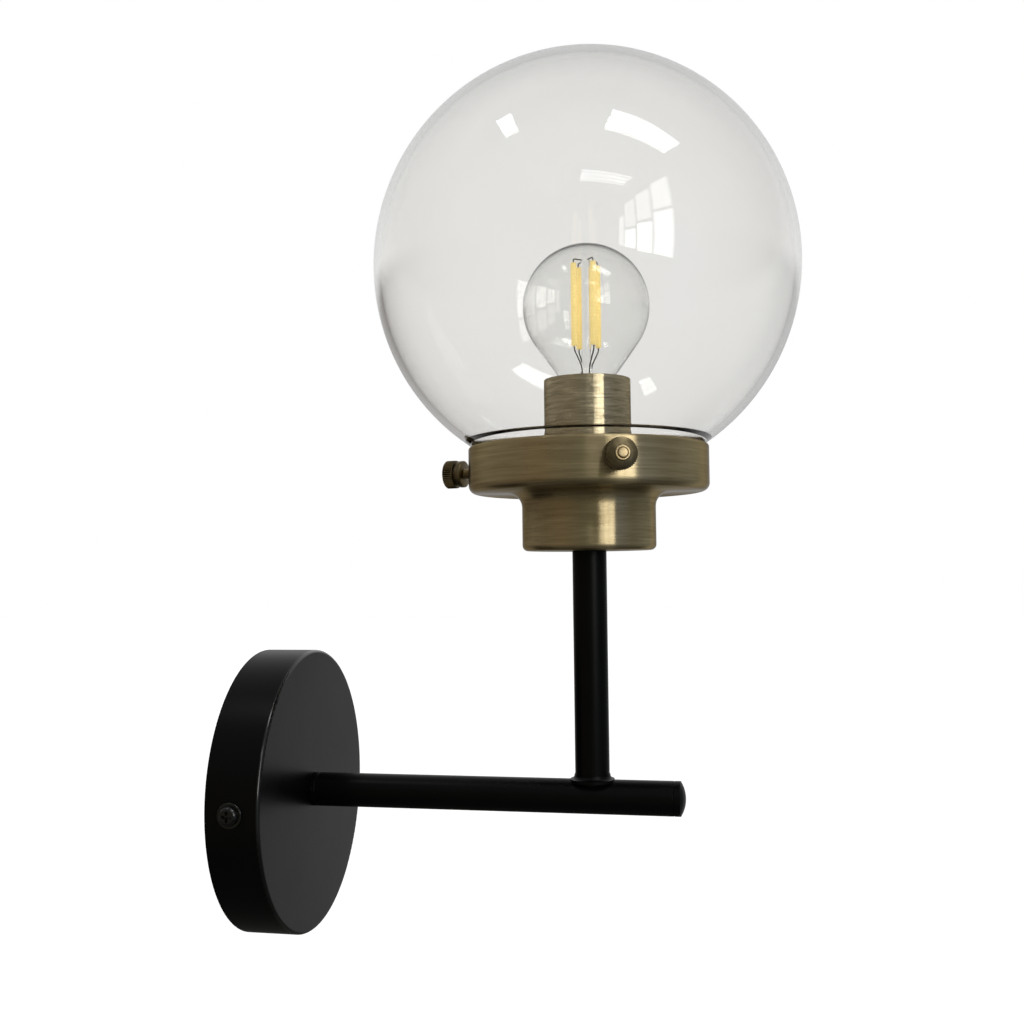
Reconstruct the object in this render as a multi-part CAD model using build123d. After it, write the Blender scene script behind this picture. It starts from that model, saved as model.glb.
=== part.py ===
from build123d import *
import os
from math import acos, atan2, cos, hypot, pi, radians, sin, sqrt

# A wall lamp: a round canopy, a tube arm with an upright stem, and a clear globe in a brass gallery.
# The wall is the plane y = 0, the arm stands out along -Y and +Z is up.
# The origin is the centre of the wall fixing, on the wall. Every size is in millimetres.

# Fits and edges
RUN_FIT = 0.05  # radial play of a screwed, turning or sliding piece
PASS_FIT = 0.25  # radial room round a piece in a plain hole
EDGE = 0.3  # rounding of a cut edge

# Driver recesses and screw heads, as shares of the screw's diameter or the head's height
RECESS_SPAN = 0.9
RECESS_ARM = 0.24
RECESS_DEPTH = 0.3
SLOT_ARM = 0.25
SLOT_DEPTH = 0.3
HEAD_CROWN = 0.75
SCREW_SHY = 0.2  # screw's tip short of the wall, in millimetres

# Canopy, the pressed cup that covers the wall fixing
CANOPY_D = 101.0
CANOPY_DEPTH = 19.0
CANOPY_SHEET = 1.2
CANOPY_EDGE_R = 1.2
SIDE_SCREW_OUT = 9.0  # side screws, out from the wall

# Canopy side screws
SIDE_SCREW_D = 4.0
SIDE_SCREW_L = 8.0
SIDE_HEAD_D = 6.6
SIDE_HEAD_H = 1.9
SIDE_FLANGE_D = 8.6
SIDE_FLANGE_T = 0.8

# Wall bracket, a folded strap with wall slots
STRAP_W = 22.0
STRAP_T = 1.5
EAR_W = 12.0
EAR_GAP = 0.4  # ear to the canopy's inside
EAR_TIP = 5.0  # ear past the side screw's axis
WALL_SLOT_PITCH = 60.0
WALL_SLOT_W = 4.5
WALL_SLOT_L = 12.0
CABLE_HOLE_D = 14.0
TAB_W = 20.0
TAB_DROP = 37.0  # tab's lower edge below the axis

# Earth screw, washer and ring lug
EARTH_X = 15.5
EARTH_SCREW_D = 4.0
EARTH_HEAD_D = 7.6
EARTH_HEAD_H = 2.6
LUG_D = 8.0
LUG_T = 0.8
LUG_BARREL_L = 5.0
LUG_BARREL_WALL = 0.5

# Terminal block
POLE_PITCH = 9.0
POLES = 3
BLOCK_END = 0.5  # block past its outer poles
BLOCK_H = 15.0
BLOCK_DEPTH = 11.0
BLOCK_Z = -26.5
POLE_OUT = 4.5  # pole axis out from the block's back
INSERT_D = 5.0
INSERT_BORE_D = 3.0
INSERT_L = 13.0
POLE_SCREW_D = 2.6
POLE_SCREW_REACH = 3.6  # pole screws to the block's middle
POLE_SCREW_SUNK = 1.5
BLOCK_SCREW_D = 2.5
BLOCK_SCREW_HEAD_D = 4.4
BLOCK_SCREW_HEAD_H = 1.6
BLOCK_SCREW_SUNK = 3.0

# Arm and stem, both of one tube
TUBE_D = 12.0
TUBE_SHEET = 1.0
ARM_REACH = 121.2  # wall to the stem's axis
ARM_TAIL = 32.2  # stem's axis to the arm's free end
ROOT_RING_L = 1.8
END_CAP_RIM = 2.2  # straight part of the cap
END_CAP_CROWN = 1.75
END_CAP_SPIGOT = 8.0

# Stem collar, the flared ferrule that is brazed on the arm and holds the stem's foot
COLLAR_LEG = 1.7  # flange past the stem's wall
COLLAR_RISE = 1.9  # flare up the stem's wall
COLLAR_DIP = 0.8  # flange's underside below the arm's top
COLLAR_LIP = 0.2  # thickness left at the flare's two ends
COLLAR_NECK_WALL = 0.9
COLLAR_NECK_L = 1.4  # neck that stands on the arm, below the flange

# Threaded nipples with their nuts and lock washers
NIPPLE_BORE_D = 7.0
NIPPLE_GRIP = 12.0  # nipple inside a tube
NIPPLE_TAIL = 3.5  # nipple past the nut, in the canopy
NUT_WALL = 2.1  # nut's flat to its thread
NUT_T = 4.0
WASHER_RIM = 3.4
WASHER_T = 0.8
WASHER_NOTCHES = 12
WASHER_NOTCH = 1.0

# Gallery, a stepped spun cup
GALLERY_Z = 85.6  # underside above the arm's axis
GALLERY_SHEET = 1.2
GALLERY_LOW_D = 47.0
GALLERY_LOW_H = 20.3
GALLERY_D = 84.5
GALLERY_RIM_H = 16.3  # rim above the step's underside
GALLERY_FOOT_R = 2.0
GALLERY_STEP_R = 5.0
GALLERY_CORNER_R = 2.8

# Thumb screws
THUMB_COUNT = 3
THUMB_FIRST_AZ = -161.0
THUMB_UP = 8.7  # screw's axis above the step's underside
STUD_D = 4.0
STUD_TIP_GAP = 0.3  # tip to the globe's neck
THUMB_STANDOFF = 5.8  # head's back to the gallery's wall
THUMB_D = 10.3
THUMB_RING_L = 1.8
THUMB_RING_D = 9.8
THUMB_GROOVE_L = 1.2
THUMB_GROOVE_D = 8.4
THUMB_KNURL_L = 3.5
THUMB_CROWN = 1.6  # domed face past the knurl
KNURL_TEETH = 44
KNURL_DEPTH = 0.35
THUMB_BOSS_D = 5.2
THUMB_BOSS_SUNK = 0.9  # boss let into the domed face
THUMB_BOSS_L = 1.3
THUMB_BOSS_STEP = 0.5  # narrower end of the boss
THUMB_BOSS_STEP_D = 3.5

# Globe
GLOBE_D = 150.0
GLOBE_WALL = 2.3
GLOBE_NECK_D = 79.0
GLOBE_CLEAR = 1.3  # globe above the rim's outer edge
GLOBE_THROAT_R = 6.0
GLOBE_LIP_R = 0.6

# Lampholder in its sleeve
SLEEVE_D = 30.6
SLEEVE_SHEET = 0.9
SLEEVE_H = 59.3
SLEEVE_FOOT_R = 1.2
HOLDER_D = 26.8
HOLDER_SHY = 5.0  # holder's top below the sleeve's top
BASE_FLOOR = 6.0
BASE_WALL = 1.8
CAVITY_H = 12.0
SPIGOT_L = 2.0
SPIGOT_WALL = 1.6
SEPTUM = 2.5
SHELL_BORE_D = 14.4
SHELL_SHEET = 0.35
SHELL_UP = 6.0  # screw shell above the septum
SHELL_L = 15.8
SHELL_FLANGE = 0.5
MOUTH_ROOM = 0.6  # holder's mouth round the bulb's skirt
TERMINAL_X = 5.8
TERMINAL_W = 6.0
TERMINAL_DEPTH = 7.0
TERMINAL_H = 7.0
TERMINAL_WALL = 1.2  # terminal's roof over the wire
HOLDER_SCREW_D = 2.8
HOLDER_SCREW_OUT = 1.1  # screw's end past its terminal
CONTACT_RISE = 4.5  # bulb's contact above the septum
CONTACT_GAP = 0.3
CONTACT_STRIP = 0.5
CONTACT_W = 4.0
CONTACT_PAD_D = 3.4
CONTACT_PAD_H = 1.1
SIDE_CONTACT_X = 6.95

# Bulb: a round envelope on a small screw cap
BULB_D = 45.0
BULB_L = 77.0
BULB_WALL = 0.7
BULB_NECK_SHOW = 1.5  # straight neck above the cap's skirt
BULB_NECK_R = 4.0
CAP_L = 23.5
CAP_THREAD_D = 13.8
THREAD_DEPTH = 0.7
THREAD_PITCH = 2.82
THREAD_RINGS = 5
CAP_SHEET = 0.35
CAP_SKIRT_D = 17.0
CAP_SKIRT_L = 5.5
CAP_FOOT_D = 11.8
BUTTON_D = 4.8
BUTTON_T = 1.0
INSULATOR_TOP = 3.4  # insulator's top above the contact's end
INSULATOR_FOOT_D = 6.4
FLARE_T = 0.8
PILLAR_D = 3.2
PINCH_D = 6.4
PINCH_UP = 9.0  # pinch above the flare
PINCH_H = 5.0
FILAMENTS = 4
FILAMENT_D = 2.2
FILAMENT_L = 30.0
FILAMENT_RING_R = 5.0
FILAMENT_FIRST_AZ = 39.5
FILAMENT_TOP = 6.6  # filament's top below the bulb's top
LEAD_D = 0.5
LEAD_PIN = 1.4  # straight pin at a filament's end
BOARD_T = 1.2
BOARD_W = 8.6
BOARD_H = 11.0
CHIP_T = 1.6

# Wires
WIRE_D = 2.2
WIRE_SPREAD = 1.4  # wires' axes to the tube's axis
WIRE_IN_BLOCK = 4.0
WIRE_OUT = 4.4  # wire's axis out from the wall, behind the nipple
WIRE_BEND_R = 4.0
TEE_BEND_R = 6.0
EARTH_BEND_R = 2.0
HOLDER_BEND_R = 2.4
WIRE_RUN = 3.0  # straight run at the block
WIRE_EXIT = 0.8  # bend past the nipple's end
WIRE_ENTRY = 1.6  # bend short of the lampholder's terminal

# Sizes that follow
canopy_r = CANOPY_D / 2
canopy_inside_r = canopy_r - CANOPY_SHEET
canopy_inside = CANOPY_DEPTH - CANOPY_SHEET
tube_r = TUBE_D / 2
tube_bore_r = tube_r - TUBE_SHEET
nipple_r = tube_bore_r - RUN_FIT
nipple_hole_r = nipple_r + PASS_FIT
arm_start = CANOPY_DEPTH + ROOT_RING_L
arm_end = ARM_REACH + ARM_TAIL - END_CAP_CROWN - END_CAP_RIM
washer_out = canopy_inside - WASHER_T
nut_out = washer_out - NUT_T
wire_r = WIRE_D / 2

lug_barrel_out = STRAP_T + wire_r + RUN_FIT + LUG_BARREL_WALL
lug_barrel_top = -(EARTH_SCREW_D / 2 + WASHER_RIM + EDGE)
pole_xs = [POLE_PITCH * (i - (POLES - 1) / 2) for i in range(POLES)]
block_screw_x = POLE_PITCH / 2
block_half = POLES * POLE_PITCH / 2 + BLOCK_END
block_front = STRAP_T + BLOCK_DEPTH
block_top = BLOCK_Z + BLOCK_H / 2
pole_out = STRAP_T + POLE_OUT
pole_screw_zs = [BLOCK_Z + side * POLE_SCREW_REACH for side in (-1, 1)]

step_z = GALLERY_Z + GALLERY_LOW_H
rim_z = step_z + GALLERY_RIM_H
gallery_r = GALLERY_D / 2
gallery_low_r = GALLERY_LOW_D / 2
gallery_floor = GALLERY_Z + GALLERY_SHEET
globe_foot = step_z + GALLERY_SHEET
globe_r = GLOBE_D / 2
globe_neck_r = GLOBE_NECK_D / 2
globe_centre = rim_z + GLOBE_CLEAR + sqrt(globe_r ** 2 - gallery_r ** 2)
throat_drop = sqrt((globe_r + GLOBE_THROAT_R) ** 2 - (globe_neck_r + GLOBE_THROAT_R) ** 2)
globe_neck_top = globe_centre - throat_drop - EDGE  # where the neck is still straight

thumb_azs = [THUMB_FIRST_AZ + 360 * i / THUMB_COUNT for i in range(THUMB_COUNT)]
thumb_back = gallery_r + THUMB_STANDOFF
thumb_face = thumb_back + THUMB_RING_L + THUMB_GROOVE_L + THUMB_KNURL_L
boss_seat = thumb_face + THUMB_CROWN - THUMB_BOSS_SUNK
stud_r = STUD_D / 2 - RUN_FIT

sleeve_r = SLEEVE_D / 2
sleeve_top = gallery_floor + SLEEVE_H
sleeve_floor = gallery_floor + SLEEVE_SHEET
stem_nut_z = sleeve_floor + WASHER_T
holder_z = stem_nut_z + NUT_T
cavity_z = holder_z + BASE_FLOOR
septum_z = cavity_z + CAVITY_H
septum_top = septum_z + SEPTUM
holder_top = sleeve_top - HOLDER_SHY
holder_r = HOLDER_D / 2
terminal_z = septum_z - TERMINAL_H
shell_r = SHELL_BORE_D / 2
shell_z = septum_top + SHELL_UP
shell_top = shell_z + SHELL_L
shell_outer_r = shell_r + THREAD_DEPTH + SHELL_SHEET
contact_z = septum_top + CONTACT_RISE

bulb_r = BULB_D / 2
bulb_top = contact_z + BULB_L
bulb_centre = bulb_top - bulb_r
cap_foot = contact_z + INSULATOR_TOP
cap_top = contact_z + CAP_L
skirt_z = cap_top - CAP_SKIRT_L
neck_r = CAP_SKIRT_D / 2 - CAP_SHEET - RUN_FIT
neck_top = cap_top + BULB_NECK_SHOW
flare_z = skirt_z + CAP_SHEET
pinch_top = flare_z + PINCH_UP + PINCH_H
filament_z = bulb_top - FILAMENT_TOP - FILAMENT_L
filament_azs = [FILAMENT_FIRST_AZ + 360 * i / FILAMENTS for i in range(FILAMENTS)]


def turned(*corners):
    """Solid turned about Z. A corner is (radius, height) or (radius, height, rounding)."""
    outline = FilletPolyline(
        *[corner[:2] for corner in corners],
        radius=[corner[2] if len(corner) > 2 else 0 for corner in corners],
        close=True,
    )
    return revolve(Plane.XZ * make_face(outline), Axis.Z)


def tube(outer_r, inner_r, low, high, edge=0):
    """Round tube along Z, with its outer edges rounded."""
    return turned((inner_r, low), (outer_r, low, edge), (outer_r, high, edge), (inner_r, high))


def rod(radius, low, high):
    """Round bar along Z."""
    return Pos(0, 0, low) * Cylinder(radius, high - low, align=(Align.CENTER, Align.CENTER, Align.MIN))


def dome(radius, low, crown):
    """Round cap of a ball, on a level circle."""
    top, ball_r = low + crown, (radius ** 2 + crown ** 2) / (2 * crown)
    half_turn = atan2(radius, ball_r - crown) / 2
    middle = (ball_r * sin(half_turn), top - ball_r * (1 - cos(half_turn)))
    section = make_face([
        Polyline((0, top), (0, low), (radius, low)),
        ThreePointArc((radius, low), middle, (0, top)),
    ])
    return revolve(Plane.XZ * section, Axis.Z)


def block(low, high):
    """Box between two corners."""
    size = [b - a for a, b in zip(low, high)]
    middle = [(a + b) / 2 for a, b in zip(low, high)]
    return Pos(*middle) * Box(*size)


def out(solid, x=0, z=0):
    """Place a solid made along Z so that its heights run out from the wall."""
    return Pos(x, 0, z) * (Rot(90, 0, 0) * solid)


def on_stem(solid):
    """Place a solid made along Z on the stem's axis."""
    return Pos(0, -ARM_REACH, 0) * solid


def sideways(direction, origin, solid):
    """Place a solid made along Z so that its heights run along a level direction."""
    return Plane(origin=origin, x_dir=(0, 0, 1), z_dir=direction) * solid


def cross_recess(shank_d, top):
    """Cross-shaped driver recess, sunk from a head's top."""
    span, width, depth = RECESS_SPAN * shank_d, RECESS_ARM * shank_d, RECESS_DEPTH * shank_d
    arms = [Box(span, width, 2 * depth), Box(width, span, 2 * depth)]
    return [Pos(0, 0, top) * arm for arm in arms]


def driver_slot(screw_d, top):
    """Straight driver slot, sunk from a screw's end."""
    return Pos(0, 0, top) * Box(2 * screw_d, SLOT_ARM * screw_d, 2 * SLOT_DEPTH * screw_d)


def pan_screw(shank_d, length, head_d, head_h, flange_d=0, flange_t=0):
    """Pan-head screw along Z, seated at height 0, with a flange under its head if it has one."""
    shank_r, head_r = shank_d / 2 - RUN_FIT, head_d / 2
    shape = turned((0, -length), (shank_r, -length, EDGE), (shank_r, 0), (head_r, 0),
                   (head_r, flange_t + head_h, HEAD_CROWN * head_h), (0, flange_t + head_h))
    if flange_d:
        shape += turned((0, 0), (flange_d / 2, 0), (flange_d / 2, flange_t, EDGE), (0, flange_t))
    return shape - cross_recess(shank_d, flange_t + head_h)


def hex_nut(bore_r, height, low):
    """Hexagon nut along Z."""
    hexagon = RegularPolygon(bore_r + NUT_WALL, side_count=6, major_radius=False)
    return Pos(0, 0, low) * extrude(hexagon, amount=height) - rod(bore_r, low, low + height)


def lock_washer(bore_r, low):
    """Toothed washer along Z."""
    rim_r = bore_r + WASHER_RIM
    shape = tube(rim_r, bore_r, low, low + WASHER_T)
    notch = Pos(rim_r, 0, low + WASHER_T / 2) * Box(2 * WASHER_NOTCH, WASHER_NOTCH, 2 * WASHER_T)
    return shape - [Rot(0, 0, 360 * i / WASHER_NOTCHES) * notch for i in range(WASHER_NOTCHES)]


def nipple(low, high):
    """Hollow threaded nipple along Z."""
    return tube(nipple_r, NIPPLE_BORE_D / 2, low, high, EDGE)


def ring_thread(crest_r, low, count):
    """Corners of a rolled thread, drawn as rings from the bottom up."""
    corners = []
    quarter = THREAD_PITCH / 4
    for i in range(count):
        start = low + i * THREAD_PITCH
        corners.append((crest_r, start + quarter, quarter))
        corners.append((crest_r - THREAD_DEPTH, start + 3 * quarter, quarter))
    return corners


def inset(corners, sheet):
    """The same corners one sheet nearer to the axis, from the top down."""
    return [(radius - sheet, height, rounding) for radius, height, rounding in reversed(corners)]


def round_wire(points, bends, radius):
    """Round wire along straight runs, with a bend radius at each inner point."""
    path = FilletPolyline(*points, radius=bends)
    return sweep(Plane(origin=path @ 0, z_dir=path % 0) * Circle(radius), path=path)


def canopy():
    hole_r = nipple_hole_r
    cup = turned((hole_r, canopy_inside), (canopy_inside_r, canopy_inside, EDGE), (canopy_inside_r, 0),
                 (canopy_r, 0), (canopy_r, CANOPY_DEPTH, CANOPY_EDGE_R), (hole_r, CANOPY_DEPTH))
    screw_hole = rod(SIDE_SCREW_D / 2 + PASS_FIT, -canopy_r - CANOPY_D, canopy_r + CANOPY_D)
    return out(cup) - sideways((1, 0, 0), (0, -SIDE_SCREW_OUT, 0), screw_hole)


def canopy_side_screws():
    screw = Pos(0, 0, canopy_r) * pan_screw(SIDE_SCREW_D, SIDE_SCREW_L, SIDE_HEAD_D, SIDE_HEAD_H,
                                            SIDE_FLANGE_D, SIDE_FLANGE_T)
    return [sideways((side, 0, 0), (0, -SIDE_SCREW_OUT, 0), screw) for side in (-1, 1)]


def wall_bracket():
    ear_x = sqrt((canopy_inside_r - EAR_GAP) ** 2 - (EAR_W / 2) ** 2)
    ear_y = -(SIDE_SCREW_OUT + EAR_TIP)
    strap = block((-ear_x, -STRAP_T, -STRAP_W / 2), (ear_x, 0, STRAP_W / 2))
    strap &= out(rod(canopy_inside_r - EAR_GAP, 0, STRAP_T))
    strap += block((-TAB_W / 2, -STRAP_T, -TAB_DROP), (TAB_W / 2, 0, 0))
    for side in (-1, 1):
        low_x, high_x = sorted((side * ear_x, side * (ear_x - STRAP_T)))
        ear = block((low_x, ear_y, -EAR_W / 2), (high_x, 0, EAR_W / 2))
        strap += fillet(ear.edges().filter_by(Axis.X).group_by(Axis.Y)[0], EAR_W / 4)
    slot = extrude(SlotOverall(WALL_SLOT_L, WALL_SLOT_W), amount=STRAP_T)
    holes = [out(slot, side * WALL_SLOT_PITCH / 2) for side in (-1, 1)]
    holes.append(out(rod(CABLE_HOLE_D / 2, 0, STRAP_T)))
    holes.append(out(rod(EARTH_SCREW_D / 2, 0, STRAP_T), EARTH_X))
    holes.append(out(rod(BLOCK_SCREW_D / 2, 0, STRAP_T), block_screw_x, BLOCK_Z))
    holes.append(sideways((1, 0, 0), (0, -SIDE_SCREW_OUT, 0), rod(SIDE_SCREW_D / 2, -canopy_r, canopy_r)))
    return strap - holes


# Earth: lug on the strap, toothed washer, screw
def earth_lug():
    barrel_r = wire_r + RUN_FIT + LUG_BARREL_WALL
    hole_r = EARTH_SCREW_D / 2 + PASS_FIT
    ring = tube(LUG_D / 2, 0, STRAP_T, STRAP_T + LUG_T)
    neck = block((-barrel_r, -STRAP_T - LUG_T, lug_barrel_top - EDGE), (barrel_r, -STRAP_T, 0))
    barrel = tube(barrel_r, wire_r + RUN_FIT, lug_barrel_top - LUG_BARREL_L, lug_barrel_top)
    plate = out(ring) + neck - out(rod(hole_r, 0, STRAP_T + LUG_T))
    return Pos(EARTH_X, 0, 0) * (plate + Pos(0, -lug_barrel_out, 0) * barrel)


def earth_washer():
    return out(lock_washer(EARTH_SCREW_D / 2, STRAP_T + LUG_T), EARTH_X)


def earth_screw():
    seat = STRAP_T + LUG_T + WASHER_T
    screw = pan_screw(EARTH_SCREW_D, seat - SCREW_SHY, EARTH_HEAD_D, EARTH_HEAD_H)
    return out(Pos(0, 0, seat) * screw, EARTH_X)


# Terminal block
def terminal_block():
    body = block((-block_half, -block_front, BLOCK_Z - BLOCK_H / 2), (block_half, -STRAP_T, block_top))
    body = fillet(body.edges().filter_by(Axis.X).group_by(Axis.Y)[0], 2 * EDGE)
    head_hole = rod(BLOCK_SCREW_HEAD_D / 2 + PASS_FIT, block_front - BLOCK_SCREW_SUNK, block_front)
    holes = [out(head_hole, block_screw_x, BLOCK_Z)]
    holes.append(out(rod(BLOCK_SCREW_D / 2 + PASS_FIT, 0, block_front), block_screw_x, BLOCK_Z))
    for x in pole_xs:
        holes.append(Pos(x, -pole_out, BLOCK_Z) * Cylinder(INSERT_D / 2 + RUN_FIT, BLOCK_H))
        for z in pole_screw_zs:
            holes.append(out(rod(POLE_SCREW_D / 2 + PASS_FIT, pole_out, block_front), x, z))
    return body - holes


def terminal_inserts():
    insert = Cylinder(INSERT_D / 2, INSERT_L) - Cylinder(INSERT_BORE_D / 2, INSERT_L)
    tapped = [out(rod(POLE_SCREW_D / 2, 0, INSERT_D), 0, z - BLOCK_Z) for z in pole_screw_zs]
    insert -= tapped
    return [Pos(x, -pole_out, BLOCK_Z) * insert for x in pole_xs]


def terminal_screws():
    low, high = pole_out + wire_r + RUN_FIT, block_front - POLE_SCREW_SUNK
    screw = rod(POLE_SCREW_D / 2 - RUN_FIT, low, high) - driver_slot(POLE_SCREW_D, high)
    return [out(screw, x, z) for x in pole_xs for z in pole_screw_zs]


def terminal_block_screw():
    seat = block_front - BLOCK_SCREW_SUNK
    screw = pan_screw(BLOCK_SCREW_D, seat - SCREW_SHY, BLOCK_SCREW_HEAD_D, BLOCK_SCREW_HEAD_H)
    return out(Pos(0, 0, seat) * screw, block_screw_x, BLOCK_Z)


# Arm: nipple, nut and washer in the canopy, root ring, tube, end cap
def arm_nipple():
    return out(nipple(nut_out - NIPPLE_TAIL, arm_start + NIPPLE_GRIP))


def arm_lock_washer():
    return out(lock_washer(nipple_hole_r, washer_out))


def arm_nut():
    return out(hex_nut(nipple_r + RUN_FIT, NUT_T, nut_out))


def arm_root_ring():
    return out(tube(tube_r, nipple_hole_r, CANOPY_DEPTH, arm_start, EDGE))


def arm_tube():
    pipe = out(tube(tube_r, tube_bore_r, arm_start, arm_end, EDGE))
    return pipe - on_stem(rod(NIPPLE_BORE_D / 2, 0, TUBE_D))


def arm_end_cap():
    low, rim = arm_end - END_CAP_SPIGOT, arm_end + END_CAP_RIM
    spigot_r = tube_bore_r - RUN_FIT
    cap = turned((0, low), (spigot_r, low, EDGE), (spigot_r, arm_end), (tube_r, arm_end, EDGE),
                 (tube_r, rim), (0, rim))
    return out(cap + dome(tube_r, rim, END_CAP_CROWN))


# Stem: flared collar on the arm, tube, nipple
def stem_collar():
    bore_r, socket_r = NIPPLE_BORE_D / 2, tube_r + RUN_FIT
    neck, flange_r, low = bore_r + COLLAR_NECK_WALL, tube_r + COLLAR_LEG, tube_r - COLLAR_DIP
    edge, top = tube_r + COLLAR_LIP, tube_r + COLLAR_RISE
    sweep_in = (flange_r - socket_r - COLLAR_LIP) * (1 - cos(pi / 4))
    sweep_up = (top - edge) * (1 - sin(pi / 4))
    section = make_face([
        Polyline((socket_r + COLLAR_LIP, top), (socket_r, top), (socket_r, tube_r), (bore_r, tube_r),
                 (bore_r, low - COLLAR_NECK_L), (neck, low - COLLAR_NECK_L), (neck, low), (flange_r, low),
                 (flange_r, edge)),
        ThreePointArc((flange_r, edge), (socket_r + COLLAR_LIP + sweep_in, edge + sweep_up),
                      (socket_r + COLLAR_LIP, top)),
    ])
    arm = out(rod(tube_r + RUN_FIT, 0, arm_end))
    return on_stem(revolve(Plane.XZ * section, Axis.Z)) - arm


def stem_tube():
    return on_stem(tube(tube_r, tube_bore_r, tube_r, GALLERY_Z, EDGE))


def stem_nipple():
    return on_stem(nipple(GALLERY_Z - NIPPLE_GRIP, cavity_z))


# Gallery with its washer and nut
def gallery():
    low_in, up_in = gallery_low_r - GALLERY_SHEET, gallery_r - GALLERY_SHEET
    inner_corner = max(GALLERY_CORNER_R - GALLERY_SHEET, EDGE / 2)
    cup = turned(
        (nipple_hole_r, GALLERY_Z), (gallery_low_r, GALLERY_Z, GALLERY_FOOT_R),
        (gallery_low_r, step_z, GALLERY_STEP_R), (gallery_r, step_z, GALLERY_CORNER_R),
        (gallery_r, rim_z, EDGE), (up_in, rim_z, EDGE), (up_in, globe_foot, inner_corner),
        (low_in, globe_foot, GALLERY_STEP_R + GALLERY_SHEET),
        (low_in, gallery_floor, max(GALLERY_FOOT_R - GALLERY_SHEET, EDGE)), (nipple_hole_r, gallery_floor),
    )
    holes = [thumb(az, rod(STUD_D / 2, up_in - GALLERY_SHEET, gallery_r + GALLERY_SHEET)) for az in thumb_azs]
    return on_stem(cup) - holes


def stem_lock_washer():
    return on_stem(lock_washer(nipple_hole_r, sleeve_floor))


def stem_nut():
    return on_stem(hex_nut(nipple_r + RUN_FIT, NUT_T, stem_nut_z))


# Thumb screws: each a threaded stud staked into a knurled head
def thumb(azimuth, solid):
    """Place a solid made along Z on a thumb screw's axis, its heights out from the stem's axis."""
    turn = radians(azimuth)
    return sideways((cos(turn), sin(turn), 0), (0, -ARM_REACH, step_z + THUMB_UP), solid)


def thumb_stud():
    boss_r, tip_r = THUMB_BOSS_D / 2 - RUN_FIT, THUMB_BOSS_STEP_D / 2
    tip = globe_neck_r + STUD_TIP_GAP
    seat = boss_seat + RUN_FIT
    step, end = seat + THUMB_BOSS_L - THUMB_BOSS_STEP, seat + THUMB_BOSS_L
    return turned((0, tip), (stud_r, tip, EDGE), (stud_r, seat), (boss_r, seat), (boss_r, step, EDGE),
                  (tip_r, step), (tip_r, end, EDGE), (0, end))


def thumb_head():
    bore_r, ring_r, groove_r, rim_r = STUD_D / 2, THUMB_RING_D / 2, THUMB_GROOVE_D / 2, THUMB_D / 2
    groove = thumb_back + THUMB_RING_L
    knurl = groove + THUMB_GROOVE_L
    over = thumb_face + 2 * THUMB_CROWN
    rear = turned((bore_r, thumb_back), (ring_r, thumb_back, EDGE), (ring_r, groove, EDGE),
                  (groove_r, groove), (groove_r, knurl), (bore_r, knurl))
    teeth = [(rim_r - KNURL_DEPTH * (i % 2), pi * i / KNURL_TEETH) for i in range(2 * KNURL_TEETH)]
    star = make_face(Polyline(*[(r * cos(turn), r * sin(turn)) for r, turn in teeth], close=True))
    band = Pos(0, 0, knurl) * extrude(star, amount=thumb_face - knurl)
    band &= turned((0, knurl), (rim_r - EDGE, knurl), (rim_r, knurl + EDGE), (rim_r, thumb_face - EDGE),
                   (rim_r - EDGE, thumb_face), (0, thumb_face))
    band += dome(rim_r - KNURL_DEPTH, thumb_face, THUMB_CROWN)
    return rear + band - rod(bore_r, knurl, over) - rod(THUMB_BOSS_D / 2, boss_seat, over)


# Globe: the ball with its throat, and the straight neck
def blown_glass():
    """The whole glass, ball and neck, about Z."""
    inner_r, neck_in = globe_r - GLOBE_WALL, globe_neck_r - GLOBE_WALL
    outer_join = globe_centre - sqrt(globe_r ** 2 - globe_neck_r ** 2)
    inner_join = globe_centre - sqrt(inner_r ** 2 - neck_in ** 2)
    section = make_face([
        Line((neck_in, globe_foot), (globe_neck_r, globe_foot)),
        Line((globe_neck_r, globe_foot), (globe_neck_r, outer_join)),
        ThreePointArc((globe_neck_r, outer_join), (globe_r, globe_centre), (0, globe_centre + globe_r)),
        Line((0, globe_centre + globe_r), (0, globe_centre + inner_r)),
        ThreePointArc((0, globe_centre + inner_r), (inner_r, globe_centre), (neck_in, inner_join)),
        Line((neck_in, inner_join), (neck_in, globe_foot)),
    ])
    section = fillet(section.vertices().sort_by_distance((globe_neck_r, outer_join))[0], GLOBE_THROAT_R)
    inner_corner = section.vertices().sort_by_distance((neck_in, inner_join))[0]
    section = fillet(inner_corner, GLOBE_THROAT_R + GLOBE_WALL)
    section = fillet(section.vertices().group_by(Axis.Y)[0], GLOBE_LIP_R)
    return revolve(Plane.XZ * section, Axis.Z)


def glass_globe():
    return on_stem(blown_glass() & rod(globe_r, globe_neck_top, globe_centre + globe_r))


def glass_neck():
    return on_stem(blown_glass() & rod(globe_r, globe_foot, globe_neck_top))


# Lampholder: sleeve, base, body, screw shell, contacts, terminals
def lampholder_sleeve():
    bore_r = sleeve_r - SLEEVE_SHEET
    return on_stem(turned(
        (nipple_hole_r, gallery_floor), (sleeve_r, gallery_floor, SLEEVE_FOOT_R),
        (sleeve_r, sleeve_top, EDGE), (bore_r, sleeve_top, EDGE),
        (bore_r, sleeve_floor, EDGE), (nipple_hole_r, sleeve_floor)))


def lampholder_base():
    cavity_r = holder_r - BASE_WALL
    return on_stem(turned(
        (nipple_r + RUN_FIT, holder_z), (holder_r, holder_z, BASE_WALL), (holder_r, septum_z),
        (cavity_r, septum_z), (cavity_r, cavity_z, EDGE), (nipple_r + RUN_FIT, cavity_z)))


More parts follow.
